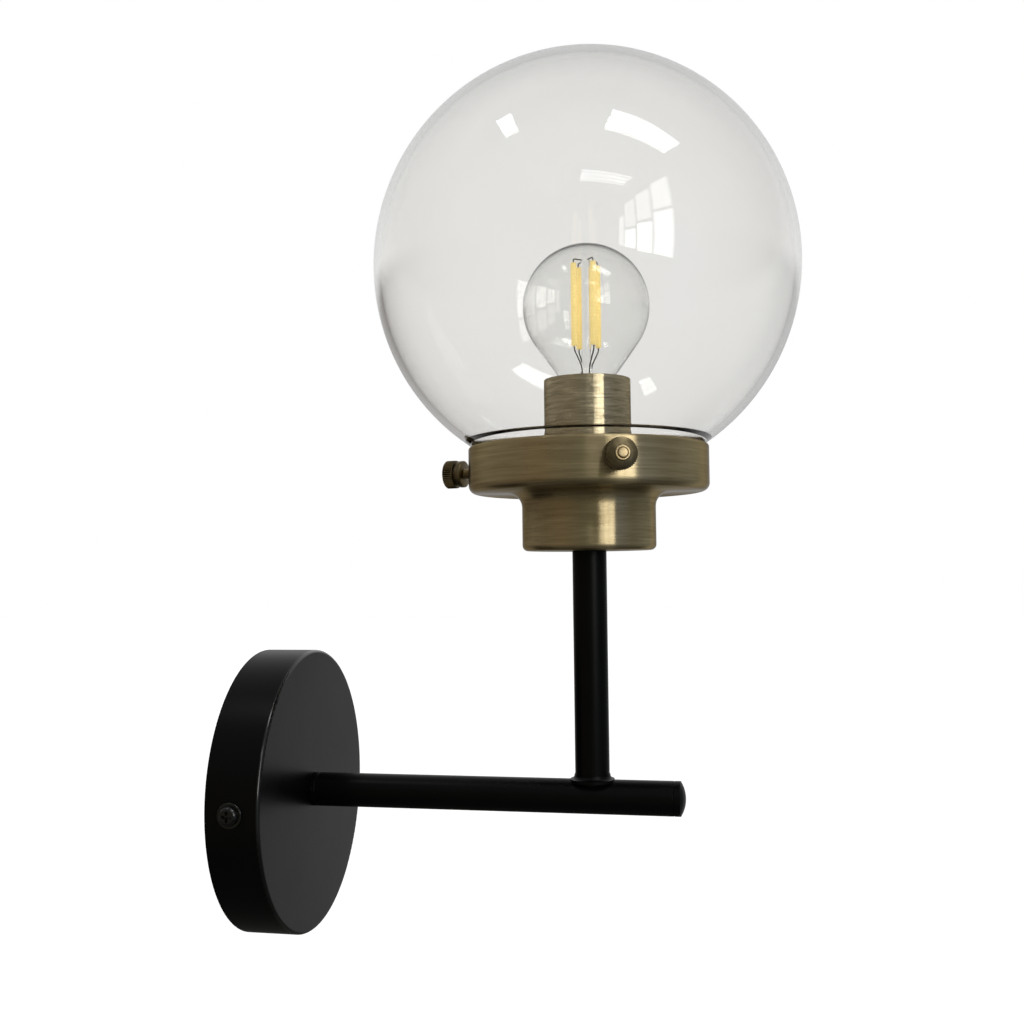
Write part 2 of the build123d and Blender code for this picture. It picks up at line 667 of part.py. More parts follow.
def lampholder_body():
    spigot_r = holder_r - BASE_WALL - RUN_FIT
    bore_r = shell_outer_r + RUN_FIT
    mouth_r = CAP_SKIRT_D / 2 + MOUTH_ROOM
    shape = turned(
        (0, septum_z), (spigot_r - SPIGOT_WALL, septum_z), (spigot_r - SPIGOT_WALL, septum_z - SPIGOT_L),
        (spigot_r, septum_z - SPIGOT_L), (spigot_r, septum_z), (holder_r, septum_z),
        (holder_r, holder_top, 2 * EDGE), (mouth_r, holder_top, EDGE), (mouth_r, shell_top),
        (bore_r, shell_top), (bore_r, septum_top), (0, septum_top))
    slot = Box(CONTACT_STRIP + 2 * PASS_FIT, CONTACT_W + 2 * PASS_FIT, 2 * SEPTUM)
    shape -= [Pos(x, 0, septum_z + SEPTUM / 2) * slot for x in (TERMINAL_X, -SIDE_CONTACT_X)]
    return on_stem(shape)


def screw_shell():
    rings = int((shell_top - shell_z - 2 * SHELL_FLANGE) / THREAD_PITCH)
    thread = ring_thread(shell_outer_r, shell_z + SHELL_FLANGE, rings)
    flange_r, flange_top = shell_r - SHELL_FLANGE, shell_z + SHELL_SHEET
    foot_r = shell_outer_r - THREAD_DEPTH
    foot_in = foot_r - SHELL_SHEET
    return on_stem(turned(
        (flange_r, shell_z), (foot_r, shell_z), *thread, (foot_r, shell_top), (foot_in, shell_top),
        *inset(thread, SHELL_SHEET), (foot_in, flange_top), (flange_r, flange_top)))


def centre_contact():
    pad_top = contact_z - CONTACT_GAP
    strip_top = pad_top - CONTACT_PAD_H
    leg_x, half = TERMINAL_X + CONTACT_STRIP / 2, CONTACT_W / 2
    leg = block((leg_x - CONTACT_STRIP, -half, septum_z), (leg_x, half, strip_top))
    strip = block((-half, -half, strip_top - CONTACT_STRIP), (leg_x, half, strip_top))
    pad_r = CONTACT_PAD_D / 2
    pad = turned((0, strip_top), (pad_r, strip_top), (pad_r, pad_top, 2 * EDGE), (0, pad_top))
    return on_stem(leg + strip + pad)


def side_contact():
    half = CONTACT_W / 2
    leg_x = SIDE_CONTACT_X + CONTACT_STRIP / 2
    return on_stem(block((-leg_x, -half, septum_z), (CONTACT_STRIP - leg_x, half, shell_z)))


def lampholder_terminals():
    half_w, half_d = TERMINAL_W / 2, TERMINAL_DEPTH / 2
    body = block((-half_w, -half_d, terminal_z), (half_w, half_d, septum_z))
    body -= rod(wire_r + PASS_FIT, terminal_z, septum_z - TERMINAL_WALL)
    tapped = rod(HOLDER_SCREW_D / 2, 0, TERMINAL_W)
    screw_z = terminal_z + TERMINAL_H / 2
    return [on_stem(Pos(side * TERMINAL_X, 0, 0) * (body - sideways((side, 0, 0), (0, 0, screw_z), tapped)))
            for side in (-1, 1)]


def lampholder_terminal_screws():
    end = TERMINAL_W / 2 + HOLDER_SCREW_OUT
    screw = rod(HOLDER_SCREW_D / 2 - RUN_FIT, wire_r + RUN_FIT, end) - driver_slot(HOLDER_SCREW_D, end)
    screw_z = terminal_z + TERMINAL_H / 2
    return [on_stem(Pos(side * TERMINAL_X, 0, 0) * sideways((side, 0, 0), (0, 0, screw_z), screw))
            for side in (-1, 1)]


# Bulb
def bulb_contact():
    r = BUTTON_D / 2
    return on_stem(turned((0, contact_z), (r, contact_z, BUTTON_T / 2), (r, contact_z + BUTTON_T),
                          (0, contact_z + BUTTON_T)))


def bulb_insulator():
    foot = contact_z + BUTTON_T
    return on_stem(turned((0, foot), (INSULATOR_FOOT_D / 2, foot, EDGE), (CAP_FOOT_D / 2, cap_foot),
                          (0, cap_foot)))


def bulb_cap():
    skirt_r, foot_r = CAP_SKIRT_D / 2, CAP_FOOT_D / 2
    skirt_in = skirt_r - CAP_SHEET
    thread = ring_thread(CAP_THREAD_D / 2, cap_foot, THREAD_RINGS)
    return on_stem(turned(
        (foot_r - CAP_SHEET, cap_foot), (foot_r, cap_foot), *thread, (skirt_r, skirt_z, EDGE),
        (skirt_r, cap_top), (skirt_in, cap_top), (skirt_in, flare_z), *inset(thread, CAP_SHEET)))


def envelope(radius, neck):
    """The bulb's envelope, or its hollow: a round top, a cone that touches it, and a straight neck."""
    drop = bulb_centre - neck_top
    slope = acos(radius / hypot(neck, drop)) - atan2(drop, neck)  # of the cone's normal, below level
    join = (radius * cos(slope), bulb_centre + radius * sin(slope))
    section = make_face([
        Line((0, flare_z), (neck, flare_z)),
        Line((neck, flare_z), (neck, neck_top)),
        Line((neck, neck_top), join),
        ThreePointArc(join, (radius, bulb_centre), (0, bulb_centre + radius)),
        Line((0, bulb_centre + radius), (0, flare_z)),
    ])
    corner = section.vertices().sort_by_distance((neck, neck_top))[0]
    return revolve(Plane.XZ * fillet(corner, BULB_NECK_R), Axis.Z)


def bulb_glass():
    return on_stem(envelope(bulb_r, neck_r) - envelope(bulb_r - BULB_WALL, neck_r - BULB_WALL))


def bulb_mount_stem():
    flare_r, pinch_r, pillar_r = neck_r - BULB_WALL - RUN_FIT, PINCH_D / 2, PILLAR_D / 2
    top = filament_z + FILAMENT_L + LEAD_PIN + LEAD_D
    return on_stem(turned(
        (0, flare_z), (flare_r, flare_z), (flare_r, flare_z + FLARE_T),
        (pinch_r, pinch_top - PINCH_H, PILLAR_D), (pinch_r, pinch_top, EDGE), (pillar_r, pinch_top),
        (pillar_r, top, pillar_r / 2), (0, top)))


def on_filament(azimuth, solid):
    """Place a solid made along X, from the bulb's axis, at a filament's azimuth."""
    return on_stem(Rot(0, 0, azimuth) * solid)


def bulb_filaments():
    stick = tube(FILAMENT_D / 2, 0, filament_z, filament_z + FILAMENT_L, EDGE)
    return [on_filament(az, Pos(FILAMENT_RING_R, 0, 0) * stick) for az in filament_azs]


def bulb_lead_wires():
    filament_top = filament_z + FILAMENT_L
    ring, inner = FILAMENT_RING_R, PILLAR_D / 2 + RUN_FIT
    foot_r = (PILLAR_D + PINCH_D) / 4
    upper = [(ring, 0, filament_top), (ring, 0, filament_top + LEAD_PIN), (inner, 0, filament_top + LEAD_PIN)]
    lower = [(ring, 0, filament_z), (ring, 0, filament_z - LEAD_PIN), (foot_r, 0, pinch_top + LEAD_PIN),
             (foot_r, 0, pinch_top)]
    leads = [round_wire(upper, [LEAD_D], LEAD_D / 2), round_wire(lower, [LEAD_D, LEAD_D], LEAD_D / 2)]
    return [on_filament(az, lead) for az in filament_azs for lead in leads]


def bulb_driver():
    low, half_w, half_t = cap_foot, BOARD_W / 2, BOARD_T / 2  # it stands on the insulator
    board = block((-half_w, -half_t, low), (half_w, half_t, low + BOARD_H))
    chip_low = low + BOARD_H / 4
    chip = block((-half_w / 2, half_t, chip_low), (half_w / 2, half_t + CHIP_T, chip_low + half_w))
    return on_stem(board + chip)


# Wires, from the terminal block through the arm and the stem to the lampholder
def lamp_wire(pole_x, side):
    x, end_x = side * WIRE_SPREAD, side * TERMINAL_X
    points = [
        (pole_x, -pole_out, block_top - WIRE_IN_BLOCK),
        (pole_x, -pole_out, block_top + WIRE_RUN),
        (x, -WIRE_OUT, -WIRE_BEND_R - WIRE_RUN),
        (x, -WIRE_OUT, 0),
        (x, -ARM_REACH, 0),
        (x, -ARM_REACH, cavity_z + WIRE_EXIT),
        (end_x, -ARM_REACH, terminal_z - WIRE_ENTRY),
        (end_x, -ARM_REACH, septum_z - TERMINAL_WALL),
    ]
    bends = [WIRE_BEND_R, WIRE_BEND_R, WIRE_BEND_R, TEE_BEND_R, HOLDER_BEND_R, HOLDER_BEND_R]
    return round_wire(points, bends, wire_r)


def earth_wire():
    barrel_foot = lug_barrel_top - LUG_BARREL_L
    points = [
        (pole_xs[-1], -pole_out, block_top - WIRE_IN_BLOCK),
        (pole_xs[-1], -pole_out, block_top + WIRE_RUN),
        (EARTH_X, -lug_barrel_out, barrel_foot - EARTH_BEND_R),
        (EARTH_X, -lug_barrel_out, lug_barrel_top - 2 * EDGE),
    ]
    return round_wire(points, [EARTH_BEND_R, EARTH_BEND_R], wire_r)


nodes = {maker.__name__: maker() for maker in (
    canopy, canopy_side_screws, wall_bracket, earth_lug, earth_washer, earth_screw,
    terminal_block, terminal_inserts, terminal_screws, terminal_block_screw,
    arm_nipple, arm_lock_washer, arm_nut, arm_root_ring, arm_tube, arm_end_cap,
    stem_collar, stem_tube, stem_nipple, gallery, stem_lock_washer, stem_nut, glass_globe, glass_neck,
    lampholder_sleeve, lampholder_base, lampholder_body, screw_shell, centre_contact, side_contact,
    lampholder_terminals, lampholder_terminal_screws,
    bulb_contact, bulb_insulator, bulb_cap, bulb_glass, bulb_mount_stem, bulb_filaments, bulb_lead_wires,
    bulb_driver, earth_wire,
)}
for number, azimuth in enumerate(thumb_azs, 1):
    nodes[f"thumb_stud_{number}"] = thumb(azimuth, thumb_stud())
    nodes[f"thumb_head_{number}"] = thumb(azimuth, thumb_head())
nodes["live_wire"] = lamp_wire(pole_xs[1], 1)
nodes["neutral_wire"] = lamp_wire(pole_xs[0], -1)

os.makedirs("parts", exist_ok=True)
for name, shape in nodes.items():
    solids = shape if isinstance(shape, list) else [shape]
    node = Compound([solid for group in solids for solid in group.solids()])
    node.label = name
    export_step(node, f"parts/{name}.step")
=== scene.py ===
from math import acos, atan2, cos, degrees, pi, radians, sin, sqrt, tan

import bmesh
import bpy
from mathutils import Euler, Matrix, Vector


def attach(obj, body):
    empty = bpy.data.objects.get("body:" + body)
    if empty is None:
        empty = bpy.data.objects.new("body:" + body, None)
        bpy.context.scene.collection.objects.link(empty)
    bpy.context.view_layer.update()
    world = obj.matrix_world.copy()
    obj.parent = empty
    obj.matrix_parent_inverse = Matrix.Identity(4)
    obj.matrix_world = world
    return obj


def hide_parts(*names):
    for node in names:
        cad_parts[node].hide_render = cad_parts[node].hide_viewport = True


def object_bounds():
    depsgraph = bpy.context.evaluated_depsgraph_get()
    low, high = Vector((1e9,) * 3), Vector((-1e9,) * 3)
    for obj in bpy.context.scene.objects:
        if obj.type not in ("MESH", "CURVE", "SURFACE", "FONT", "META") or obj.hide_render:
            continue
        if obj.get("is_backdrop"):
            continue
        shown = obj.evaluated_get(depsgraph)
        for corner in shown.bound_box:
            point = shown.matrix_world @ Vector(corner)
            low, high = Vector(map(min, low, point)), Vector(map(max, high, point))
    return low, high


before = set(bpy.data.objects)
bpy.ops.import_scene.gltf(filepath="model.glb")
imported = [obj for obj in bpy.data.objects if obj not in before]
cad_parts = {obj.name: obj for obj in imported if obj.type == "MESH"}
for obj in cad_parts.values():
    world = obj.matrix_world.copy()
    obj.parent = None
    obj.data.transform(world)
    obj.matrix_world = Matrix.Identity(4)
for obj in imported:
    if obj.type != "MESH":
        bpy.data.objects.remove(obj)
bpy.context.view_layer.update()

# Wall bracket: a strap folded from steel sheet and zinc plated. Two wall screws hold it through its slots,
# the canopy's side screws pull on its ears, and the earth screw and terminal block sit on it.


class Field:
    """A shader socket. Arithmetic on it, with numbers or other sockets, adds Math nodes."""

    def __init__(self, finish, socket):
        self.finish, self.socket = finish, socket

    def math(self, operation, first, second):
        return self.finish.node("ShaderNodeMath", {"operation": operation}, {0: first, 1: second})

    def __add__(self, other):
        return self.math("ADD", self, other)

    def __radd__(self, other):
        return self.math("ADD", other, self)

    def __sub__(self, other):
        return self.math("SUBTRACT", self, other)

    def __rsub__(self, other):
        return self.math("SUBTRACT", other, self)

    def __mul__(self, other):
        return self.math("MULTIPLY", self, other)

    def __rmul__(self, other):
        return self.math("MULTIPLY", other, self)

    def __truediv__(self, other):
        return self.math("DIVIDE", self, other)

    def __rtruediv__(self, other):
        return self.math("DIVIDE", other, self)

    def __pow__(self, other):
        return self.math("POWER", self, other)


class Finish:
    """A node material, or the world's nodes. node() adds one node and returns one of its outputs."""

    def __init__(self, name, owner=None):
        self.owner = owner or bpy.data.materials.new(name)
        self.owner.use_nodes = True
        self.tree = self.owner.node_tree
        self.tree.nodes.clear()

    def node(self, kind, settings, sockets, output=0):
        made = self.tree.nodes.new(kind)
        for name, value in settings.items():
            if name == "stops":
                (place, colour), *others = value
                ramp = made.color_ramp
                ramp.elements.remove(ramp.elements[1])
                ramp.elements[0].position, ramp.elements[0].color = place, colour
                for place, colour in others:
                    ramp.elements.new(place).color = colour
            else:
                setattr(made, name, value)
        for name, value in sockets.items():
            if isinstance(value, Field):
                self.tree.links.new(value.socket, made.inputs[name])
            else:
                made.inputs[name].default_value = value
        return Field(self, made.outputs[output]) if made.outputs else None

    def place(self):
        """Where a point lies in the lamp's own frame, in metres."""
        return self.node("ShaderNodeTexCoord", {}, {}, "Object")

    def grain(self, where, scale, detail=2.0):
        """Soft noise from 0 to 1, with spots of about 1 / scale metres."""
        return self.node("ShaderNodeTexNoise", {},
                         {"Vector": where, "Scale": scale, "Detail": detail}, "Fac")

    def blend(self, share, first, second):
        """One colour turning into another."""
        return self.node("ShaderNodeMix", {"data_type": "RGBA"}, {0: share, 6: first, 7: second}, 2)

    def dent(self, height, strength, depth):
        """Surface relief from a height field."""
        return self.node("ShaderNodeBump", {}, {"Height": height, "Strength": strength, "Distance": depth})

    def surface(self, sockets):
        """Closes the material with one shader and returns it."""
        shader = self.node("ShaderNodeBsdfPrincipled", {}, sockets)
        self.node("ShaderNodeOutputMaterial", {}, {"Surface": shader})
        return self.owner


def dress(material, *nodes):
    """Gives CAD nodes their finish."""
    for name in nodes:
        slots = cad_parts[name].data.materials
        slots.clear()
        slots.append(material)


def plated(name, bright, dull, rough):
    """Plated or bare metal with a cloudy bloom and fine rolling marks."""
    finish = Finish(name)
    where = finish.place()
    bloom = finish.grain(where, 140, 4)
    marks = finish.grain(where, 2600, 2)
    return finish.surface({
        "Base Color": finish.blend(bloom * 1.4 - 0.2, bright, dull),
        "Metallic": 1.0,
        "Roughness": rough + 0.16 * bloom + 0.08 * marks,
        "Normal": finish.dent(marks, 0.12, 0.00012),
    })


zinc = plated("zinc_plate", (0.62, 0.63, 0.62, 1), (0.40, 0.41, 0.42, 1), 0.26)
dress(zinc, "wall_bracket")

# Earth fixing: a ring lug under a toothed washer and a pan-head screw in the strap.
# The lug is pressed brass, the washer and screw are zinc-plated steel.
bright_brass = plated("bright_brass", (0.72, 0.53, 0.22, 1), (0.50, 0.35, 0.13, 1), 0.22)
dress(zinc, "earth_screw", "earth_washer")
dress(bright_brass, "earth_lug")

# Terminal block: moulded nylon with brass inserts and steel clamping screws, screwed to the bracket's tab.
# The moulding has a faint satin grain.


def moulded(name, colour, shade, rough, grain_scale):
    """Moulded plastic with a faint spark-eroded grain."""
    finish = Finish(name)
    where = finish.place()
    cloud = finish.grain(where, 60, 3)
    spark = finish.grain(where, grain_scale, 2)
    return finish.surface({
        "Base Color": finish.blend(cloud, colour, shade),
        "Roughness": rough + 0.18 * spark,
        "Normal": finish.dent(spark, 0.10, 0.0001),
    })


dress(moulded("nylon", (0.80, 0.78, 0.71, 1), (0.70, 0.68, 0.61, 1), 0.38, 3200), "terminal_block")
dress(bright_brass, "terminal_inserts")
dress(zinc, "terminal_screws", "terminal_block_screw")

# Canopy: a cup drawn from steel sheet, powder coated black, that covers the wall fixing.
# Two black screws through its rim hold it to the bracket's ears; hands have polished its front edge.
MM = 0.001
CANOPY_R, CANOPY_DEPTH, CANOPY_EDGE_R = 50.5, 19.0, 1.2
POLISH_FADE = 0.4 * CANOPY_EDGE_R


def front_edge(finish):
    """1 along the middle of the canopy's rounded front edge, and 0 on its face and its rim."""
    x, y, z = [finish.node("ShaderNodeSeparateXYZ", {}, {0: finish.place()}, axis) for axis in "XYZ"]
    past = (x * x + z * z) ** 0.5 - y - (CANOPY_R + CANOPY_DEPTH - CANOPY_EDGE_R) * MM
    return finish.node("ShaderNodeMath", {"operation": "DIVIDE", "use_clamp": True},
                       {0: past, 1: POLISH_FADE * MM})


def powder_coat(name, rough, gloss, polished=None):
    """Black powder coat with its fine orange peel, and a clear shine where it is polished."""
    finish = Finish(name)
    where = finish.place()
    peel = finish.grain(where, 1500, 2)
    cloud = finish.grain(where, 45, 3)
    return finish.surface({
        "Base Color": finish.blend(cloud, (0.0008, 0.0008, 0.0008, 1), (0.0015, 0.0015, 0.0015, 1)),
        "Roughness": rough + 0.08 * cloud + 0.06 * peel,
        "Specular IOR Level": gloss,
        "Coat Weight": polished(finish) if polished else 0.0,
        "Coat Roughness": 0.14,
        "Normal": finish.dent(peel, 0.12, 0.00012),
    })


satin_black = powder_coat("black_powder_coat", 0.25, 0.10)
canopy_black = powder_coat("canopy_powder_coat", 0.25, 0.10, front_edge)
gloss_black = powder_coat("black_screw_paint", 0.08, 0.5)
dress(canopy_black, "canopy")
dress(gloss_black, "canopy_side_screws")

# Arm: a steel tube on a threaded nipple that a nut and toothed washer pull tight inside the canopy.
# A thin ring stands at its root and a plug closes its free end; all but the fixings are powder coated.
dress(zinc, "arm_nipple", "arm_lock_washer", "arm_nut")
dress(satin_black, "arm_root_ring", "arm_tube", "arm_end_cap")

# Stem: the same tube, set upright on the arm in a flared collar, then powder coated with it.
# The nipple in its top carries the gallery.
dress(satin_black, "stem_collar", "stem_tube")
dress(zinc, "stem_nipple", "stem_lock_washer", "stem_nut")

# Gallery: a stepped cup spun from brass sheet, brushed round and darkened to an antique finish.
# It sits on the stem's nipple and its upper step carries the globe.
STEM_Y = -121.2
FULL_TURN = 2 * pi
NIPPLE_HOLE_R, BRASS_SHEET = 5.2, 1.2
GALLERY_R, GALLERY_LOW_R = 42.25, 23.5
GALLERY_FOOT, GALLERY_STEP, GALLERY_TOP = 85.6, 105.9, 122.2
GALLERY_FLOOR, GLOBE_FOOT = GALLERY_FOOT + BRASS_SHEET, GALLERY_STEP + BRASS_SHEET


def rounded(*corners, steps=6):
    """Outline points of a polygon; a corner is (radius, height) or (radius, height, rounding)."""
    points = []
    for i, corner in enumerate(corners):
        here = Vector(corner[:2])
        if len(corner) < 3:
            points.append(tuple(here))
            continue
        back = Vector(corners[i - 1][:2]) - here
        ahead = Vector(corners[(i + 1) % len(corners)][:2]) - here
        back, ahead = back.normalized(), ahead.normalized()
        half = back.angle(ahead) / 2
        middle = here + (back + ahead).normalized() * (corner[2] / sin(half))
        start = here + back * (corner[2] / tan(half)) - middle
        end = here + ahead * (corner[2] / tan(half)) - middle
        sweep = start.angle_signed(end)
        for k in range(steps + 1):
            turn = -sweep * k / steps
            points.append((middle.x + start.x * cos(turn) - start.y * sin(turn),
                           middle.y + start.x * sin(turn) + start.y * cos(turn)))
    return points


def arc(centre_r, centre_z, radius, first, last, steps):
    """Outline points on a circle, from one angle to another, in degrees up from the radius."""
    turns = [radians(first + (last - first) * k / steps) for k in range(steps + 1)]
    return [(centre_r + radius * cos(turn), centre_z + radius * sin(turn)) for turn in turns]


def turned(name, outline, seat, sides=192, relief=None, sharp=35):
    """Mesh turned about Z from a closed outline in millimetres, then seated in the lamp's frame.

    relief gives what is added to the radius at an angle and an outline point's radius and height.
    """
    points, rings, faces = [], [], []
    for radius, height in outline:
        if radius < 1e-6:
            rings.append([len(points)] * sides)
            points.append((0, 0, height))
            continue
        rings.append(range(len(points), len(points) + sides))
        for k in range(sides):
            angle = FULL_TURN * k / sides
            r = radius + (relief(angle, radius, height) if relief else 0)
            points.append((r * cos(angle), r * sin(angle), height))
    for lower, upper in zip(rings, rings[1:] + rings[:1]):
        for k in range(sides):
            after = (k + 1) % sides
            corners = tuple(dict.fromkeys((lower[k], lower[after], upper[after], upper[k])))
            if len(corners) > 2:
                faces.append(corners)
    return piece(name, points, faces, seat, sharp)


def piece(name, points, faces, seat, sharp):
    """Object from points in millimetres, seated in the lamp's frame, smooth but for its sharp edges."""
    mesh = bpy.data.meshes.new(name)
    mesh.from_pydata(points, [], faces)
    mesh.transform(Matrix.Scale(MM, 4) @ seat)
    work = bmesh.new()
    work.from_mesh(mesh)
    bmesh.ops.recalc_face_normals(work, faces=work.faces)
    work.to_mesh(mesh)
    work.free()
    mesh.shade_smooth()
    mesh.set_sharp_from_angle(angle=radians(sharp))
    made = bpy.data.objects.new(name, mesh)
    bpy.context.scene.collection.objects.link(made)
    return made


def fitted(made, material, body, slot, *nodes):
    """Gives a piece its finish and its body, and hides the CAD nodes that it stands for; slot is not used.
    """
    made.data.materials.append(material)
    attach(made, body)
    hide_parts(*nodes)


def brushed_brass(name, light, dark, rough, marks):
    """Antique brass with the marks of a brush held against it as it turned on the stem's axis."""
    finish = Finish(name)
    apart = finish.node("ShaderNodeVectorMath", {"operation": "SUBTRACT"},
                        {0: finish.place(), 1: (0, STEM_Y * MM, 0)})
    x, y, z = [finish.node("ShaderNodeSeparateXYZ", {}, {0: apart}, axis) for axis in "XYZ"]
    radius = (x * x + y * y) ** 0.5 + 1e-5
    along = z + radius

    def strokes(pitch, turns):
        where = finish.node("ShaderNodeCombineXYZ", {},
                            {"X": x / radius * turns, "Y": y / radius * turns, "Z": along / pitch})
        return finish.grain(where, 1.0, 3)

    fine, broad = strokes(0.00055, 2.4), strokes(0.0016, 1.3)
    patina = finish.grain(finish.place(), 42, 3)
    worn = 0.5 + marks * (1.1 * (fine - 0.5) + 0.7 * (broad - 0.5)) + 0.7 * (patina - 0.5)
    return finish.surface({
        "Base Color": finish.blend(worn, dark, light),
        "Metallic": 1.0,
        "Roughness": rough + 0.10 * fine + 0.06 * patina,
        "Anisotropic": 1.0,
        "Anisotropic Rotation": 0.25,
        "Specular Tint": (0.38, 0.36, 0.33, 1),
        "Normal": finish.dent(fine + 0.6 * broad, 0.07, 0.00010),
    })


on_stem = Matrix.Translation((0, STEM_Y, 0))
gallery_in, gallery_low_in = GALLERY_R - BRASS_SHEET, GALLERY_LOW_R - BRASS_SHEET
gallery = turned("spun_gallery", rounded(
    (NIPPLE_HOLE_R, GALLERY_FOOT), (GALLERY_LOW_R, GALLERY_FOOT, 2.0), (GALLERY_LOW_R, GALLERY_STEP, 5.0),
    (GALLERY_R, GALLERY_STEP, 2.8), (GALLERY_R, GALLERY_TOP, 1.05), (gallery_in, GALLERY_TOP, 0.12),
    (gallery_in, GLOBE_FOOT, 1.6), (gallery_low_in, GLOBE_FOOT, 6.2), (gallery_low_in, GALLERY_FLOOR, 0.8),
    (NIPPLE_HOLE_R, GALLERY_FLOOR), steps=10), on_stem)
antique_brass = brushed_brass("antique_brass", (0.68, 0.56, 0.34, 1), (0.37, 0.291, 0.155, 1), 0.21, 1.2)
fitted(gallery, antique_brass, "fixture", "antique_brass", "gallery")

# Thumb screws: a knurled brass head staked on the end of a threaded stud, three round the gallery.
# Their tips hold the globe's neck; the heads are dark, and the staked ends are worn bright.
THUMB_AZIMUTHS, THUMB_Z = (-161, -41, 79), 114.6
HEAD_FOOT, HEAD_BORE_R, FLANGE_R, FLANGE_DEPTH, GROOVE_R = 48.05, 2.0, 4.9, 1.8, 4.2
KNURLS, KNURL_DEPTH, KNURL_R, KNURL_FOOT, KNURL_TIP = 44, 0.34, 5.15, 51.05, 55.0
DOME_R, DOME_Z, DOME_EDGE, DOME_HOLE = 11.01, 45.14, 63.6, 76.2
RECESS_R, RECESS_RIM, RECESS_FLOOR = 2.6, 55.7, 55.25
STUD_R, STUD_FOOT, STUD_TIP, SHANK_R = 1.83, 39.8, 56.6, 1.95
THREAD_FOOT, THREAD_TIP, THREAD_PITCH, THREAD_DEPTH, THREAD_STEPS = 40.2, 47.9, 0.7, 0.24, 8
STAKED_R, STAKED_FOOT, STAKED_RIM = 2.55, 55.3, 56.1


def knurled(angle, radius, height):
    """Straight grooves round the rim."""
    on_rim = radius > FLANGE_R and KNURL_FOOT < height < KNURL_TIP
    return -KNURL_DEPTH * (0.5 - 0.5 * cos(KNURLS * angle)) if on_rim else 0


def rolled_thread(angle, radius, height):
    """A thread that runs along the stud behind the head."""
    on_thread = radius == STUD_R and THREAD_FOOT < height < THREAD_TIP
    return THREAD_DEPTH / 2 * cos(FULL_TURN * height / THREAD_PITCH - angle) if on_thread else 0


def turned_brass(name, light, dark, rough):
    """Small turned brass piece, darker and lighter in soft random clouds."""
    finish = Finish(name)
    where = finish.place()
    cloud = finish.grain(where, 320, 4)
    marks = finish.grain(where, 3800, 2)
    return finish.surface({
        "Base Color": finish.blend(cloud * 1.5 - 0.25, dark, light),
        "Metallic": 1.0,
        "Roughness": rough + 0.18 * cloud,
        "Normal": finish.dent(marks, 0.10, 0.0001),
    })


head_brass = turned_brass("dark_antique_brass", (0.27, 0.218, 0.122, 1), (0.105, 0.082, 0.044, 1), 0.26)
stud_brass = turned_brass("worn_brass", (0.48, 0.385, 0.225, 1), (0.27, 0.205, 0.11, 1), 0.24)
head_outline = [
    *rounded((HEAD_BORE_R, HEAD_FOOT), (FLANGE_R, HEAD_FOOT, 0.3),
             (FLANGE_R, HEAD_FOOT + FLANGE_DEPTH, 0.25), (GROOVE_R, HEAD_FOOT + FLANGE_DEPTH + 0.1),
             (GROOVE_R, KNURL_FOOT - 0.1), steps=3),
    (KNURL_R - 0.15, KNURL_FOOT), *[(KNURL_R, KNURL_FOOT + 0.25 + 0.35 * k) for k in range(11)],
    (KNURL_R - 0.1, KNURL_TIP - 0.1), *arc(0, DOME_Z, DOME_R, DOME_EDGE, DOME_HOLE, 10),
    (RECESS_R, RECESS_RIM), (RECESS_R, RECESS_FLOOR + 0.02), (HEAD_BORE_R, RECESS_FLOOR)]
thread_rows = round((THREAD_TIP - THREAD_FOOT) / THREAD_PITCH * THREAD_STEPS)
stud_outline = [
    (0, STUD_FOOT), (1.5, STUD_FOOT), (STUD_R, THREAD_FOOT - 0.05),
    *[(STUD_R, THREAD_FOOT + THREAD_PITCH * k / THREAD_STEPS) for k in range(thread_rows)],
    (SHANK_R, THREAD_TIP + 0.1), (SHANK_R, STAKED_FOOT),
    *rounded((STAKED_R, STAKED_FOOT), (STAKED_R, STAKED_RIM, 0.35), (1.9, STAKED_RIM),
             (1.78, STAKED_RIM - 0.12), (1.7, STAKED_RIM), (1.6, STUD_TIP - 0.02, 0.35),
             (0.6, STUD_TIP), steps=4),
    (0, STUD_TIP)]
for number, azimuth in enumerate(THUMB_AZIMUTHS, 1):
    out_x, out_y = cos(radians(azimuth)), sin(radians(azimuth))
    seat = Matrix(((0, out_y, out_x, 0), (0, -out_x, out_y, STEM_Y), (1, 0, 0, THUMB_Z), (0, 0, 0, 1)))
    head = turned(f"knurled_head_{number}", head_outline, seat, KNURLS * 6, knurled, 40)
    fitted(head, head_brass, f"thumb_head_{number}", "thumb_brass", f"thumb_head_{number}")
    stud = turned(f"threaded_stud_{number}", stud_outline, seat, 64, rolled_thread, 40)
    fitted(stud, stud_brass, f"thumb_stud_{number}", "stud_brass", f"thumb_stud_{number}")

# Lampholder sleeve: a brass tube with a closed foot under the stem's nut, brushed and darkened like the
# gallery.
# Its brass is painted lighter than the gallery's, to make up for the light that the globe's glass takes
# from its reflections. It hides the lampholder, and its top edge is rounded over.
SLEEVE_R, SLEEVE_WALL, SLEEVE_TOP = 15.3, 0.9, 146.1
sleeve_in, sleeve_floor = SLEEVE_R - SLEEVE_WALL, GALLERY_FLOOR + SLEEVE_WALL
sleeve = turned("brushed_sleeve", rounded(
    (NIPPLE_HOLE_R, GALLERY_FLOOR), (SLEEVE_R, GALLERY_FLOOR, 1.2), (SLEEVE_R, SLEEVE_TOP, 0.3),
    (sleeve_in, SLEEVE_TOP, 0.3), (sleeve_in, sleeve_floor, 0.3), (NIPPLE_HOLE_R, sleeve_floor)), on_stem)
# Painted brightening: this brass is lighter than the gallery's, for the light its reflections lose in the
# glass.
sleeve_brass_painted_lighter = brushed_brass("sleeve_brass_painted_lighter", (0.82, 0.71, 0.49, 1), (0.50, 0.42, 0.265, 1), 0.17, 2.4)
fitted(sleeve, sleeve_brass_painted_lighter, "fixture", "antique_brass", "lampholder_sleeve")

